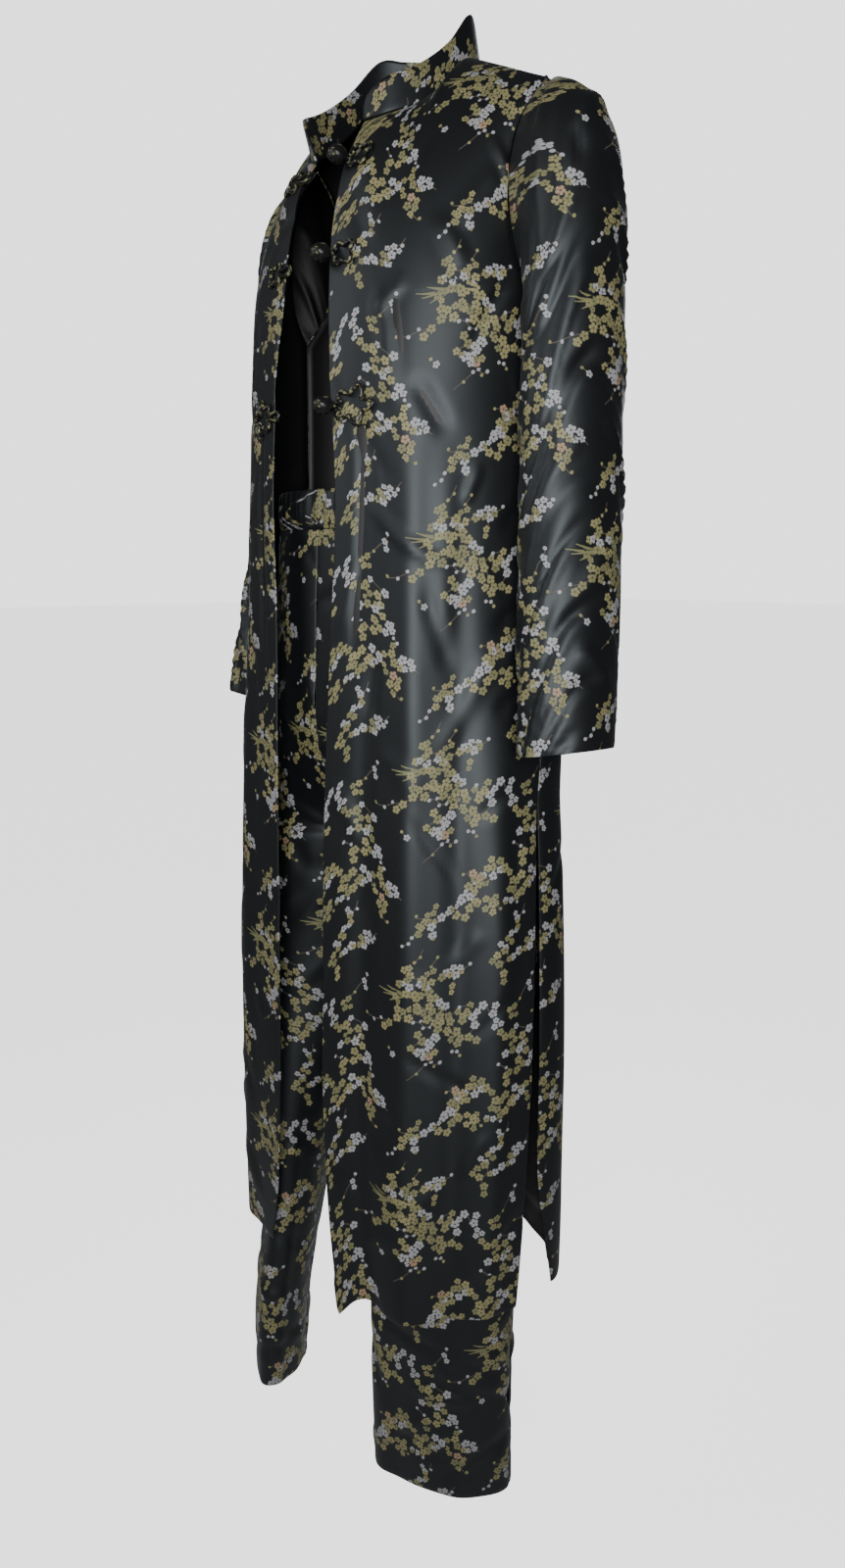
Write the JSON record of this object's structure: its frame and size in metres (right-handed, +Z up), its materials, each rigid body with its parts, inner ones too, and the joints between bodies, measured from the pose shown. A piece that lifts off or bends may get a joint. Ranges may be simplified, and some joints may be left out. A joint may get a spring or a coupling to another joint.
{
  "type": "cheongsam pant set",
  "caption": "Long open stand-collar coat with knot frogs and side slits over straight trousers, hanging in its worn shape around an empty body",
  "frame": {"origin": "the point between the side neck points of the coat, where the wearer's neck and shoulders carry it", "axes": "+Z up, the wearer faces -Y, +X is the wearer's left"},
  "size_m": [0.5434, 0.2549, 1.3995],
  "materials": {
    "black_brocade": "black satin brocade with small gold and silver plum blossoms on thin twigs",
    "black_lining": "plain black lining",
    "trim_satin": "black satin cord"
  },
  "bodies": {
    "root": {"front_left": "black_brocade", "front_right": "black_brocade", "back": "black_brocade", "sleeve_left": "black_brocade", "sleeve_right": "black_brocade", "collar": "black_brocade", "trouser_front_left": "black_brocade", "trouser_front_right": "black_brocade", "trouser_back_left": "black_brocade", "trouser_back_right": "black_brocade", "waistband": "black_brocade", "lining_front_left": "black_lining", "lining_front_right": "black_lining", "lining_back": "black_lining", "frog_left_1": "trim_satin", "frog_left_2": "trim_satin", "frog_left_3": "trim_satin", "frog_right_1": "trim_satin", "frog_right_2": "trim_satin", "frog_right_3": "trim_satin", "knot_1": "trim_satin", "knot_2": "trim_satin", "knot_3": "trim_satin"}
  },
  "joints": []
}
